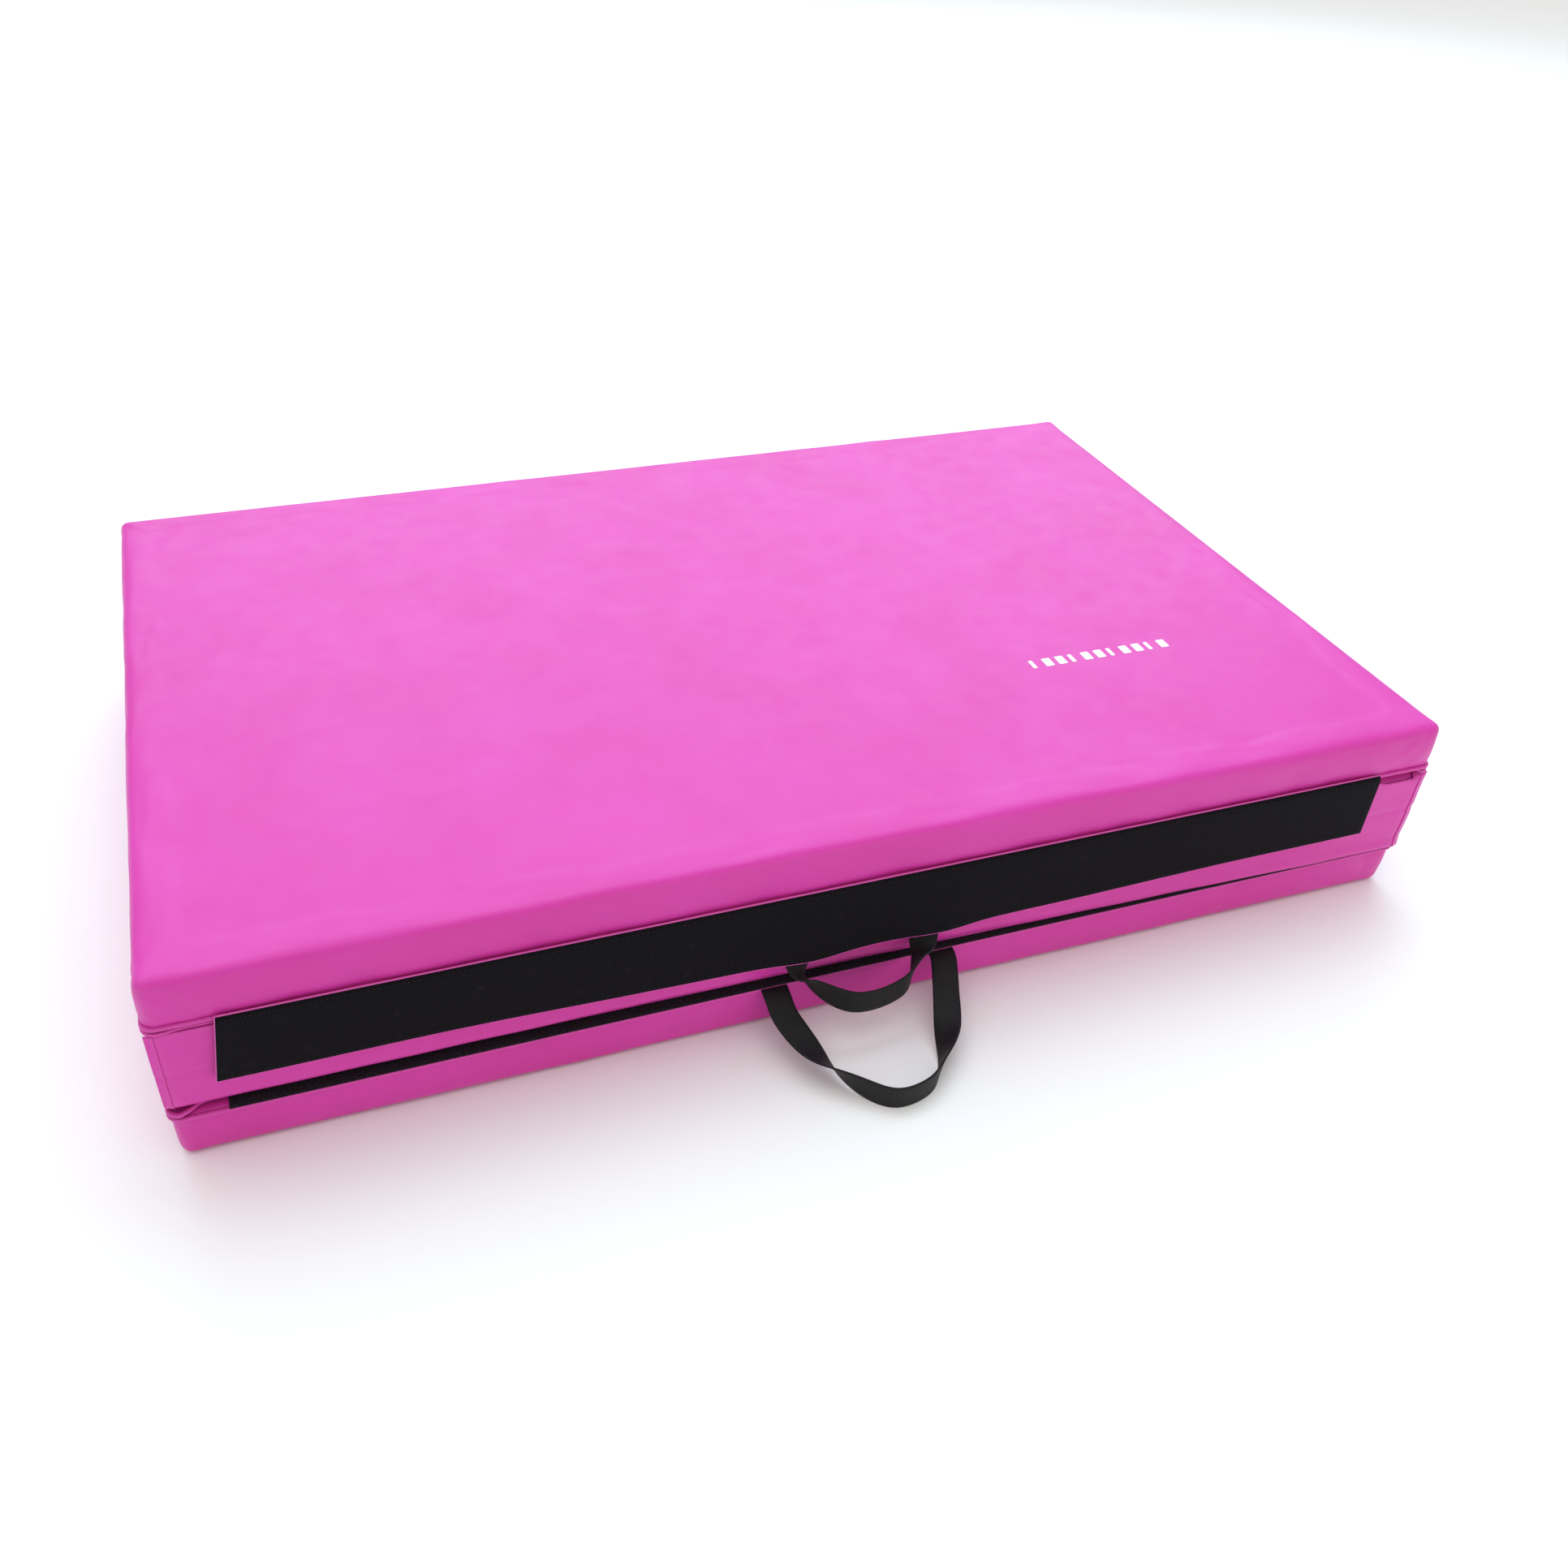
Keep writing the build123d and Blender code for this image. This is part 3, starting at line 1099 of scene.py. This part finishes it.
def makeMark():
    x0 = -halfLength + mark["left"] * 2 * halfLength
    y0 = -halfWidth + mark["front"] * 2 * halfWidth
    z = coverBoxes[1][1].z + cover["crown"][1]
    verts = []
    faces = []
    pitch = mark["length"] / mark["bars"]
    for bar in range(mark["bars"]):
        width = pitch * (mark["wide"] if bar % 3 else mark["narrow"])
        base = len(verts)
        outline = barOutline(x0 + bar * pitch, y0, width)
        for up in (-mark["sunk"], mark["ink"]):
            verts += [(x, y, z + up) for x, y in outline]
        n = len(outline)
        faces.append(tuple(base + n + i for i in range(n)))
        faces.append(tuple(base + i for i in reversed(range(n))))
        for i in range(n):
            faces.append((base + i, base + (i + 1) % n, base + n + (i + 1) % n, base + n + i))
    obj = newObject("printedMark", verts, faces, whiteInk)
    for polygon in obj.data.polygons:
        polygon.use_smooth = False
    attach(obj, "panel_1")


makeMark()
print("mark made")


studio = {
    "floor": (0.965, 0.96, 0.93),
    "floorSize": 240,
    "floorRough": 0.75,
    "sky": (0.56, (0.99, 0.99, 1.0)),  # strength and colour
    "sun": (1.0, (-2, -12, 0), 1.1, (0.97, 0.98, 1.0)),  # strength, turn in degrees, angle in radians, colour
    "sheen": (226, (0.9, 2.7, 3.3), 5.6, (0.60, 0.82, 0.98)),  # power, place, size and colour
    "front": (8, (0.9, -2.7, 0.6), 1.6, (1.0, 0.80, 0.68)),
}


def makeFloor():
    bpy.ops.mesh.primitive_plane_add(size=studio["floorSize"], location=(0, 0, -0.2 * mm))
    floor = bpy.context.object
    floor.name = "floorPlane"
    material, tree, shader = nodeKit("paleFloor")
    coords = tree.nodes.new("ShaderNodeTexCoord").outputs["Object"]
    soft = noiseNode(tree, coords, 1.5)
    shade = tuple(c * 0.985 for c in studio["floor"])
    link(tree, mixColours(tree, soft, studio["floor"], shade), shader.inputs["Base Color"])
    shader.inputs["Roughness"].default_value = studio["floorRough"]
    floor.data.materials.append(material)


def makeLamp(name, power, place, size, colour):
    data = bpy.data.lights.new(name, "AREA")
    data.energy = power
    data.size = size
    data.color = colour
    lamp = bpy.data.objects.new(name, data)
    lamp.location = place
    lamp.rotation_euler = (-Vector(place)).to_track_quat("-Z", "Y").to_euler()
    bpy.context.scene.collection.objects.link(lamp)


def makeSun(strength, turn, angle, colour):
    data = bpy.data.lights.new("sun", "SUN")
    data.energy = strength
    data.angle = angle
    data.color = colour
    lamp = bpy.data.objects.new("sun", data)
    lamp.rotation_euler = [radians(a) for a in turn]
    bpy.context.scene.collection.objects.link(lamp)


def makeWorld():
    world = bpy.data.worlds.new("softRoom")
    world.use_nodes = True
    background = world.node_tree.nodes["Background"]
    strength, colour = studio["sky"]
    background.inputs["Color"].default_value = (*colour, 1)
    background.inputs["Strength"].default_value = strength
    bpy.context.scene.world = world


view = {
    "place": (-0.4653, -1.1708, 0.9555),
    "turn": (52.004, -2.375, -18.953),  # degrees
    "lens": 31.459,
    "shiftX": 0.0497,
}


def makeCamera():
    data = bpy.data.cameras.new("camera")
    data.lens = view["lens"]
    data.sensor_width = 36
    data.shift_x = view["shiftX"]
    data.clip_start = 0.01
    camera = bpy.data.objects.new("camera", data)
    camera.location = view["place"]
    camera.rotation_euler = [radians(a) for a in view["turn"]]
    bpy.context.scene.collection.objects.link(camera)
    bpy.context.scene.camera = camera


makeFloor()
makeSun(*studio["sun"])
for lampName in ("sheen", "front"):
    makeLamp(lampName, *studio[lampName])
makeWorld()
makeCamera()
bpy.context.scene.view_settings.view_transform = "Standard"
print("studio made")
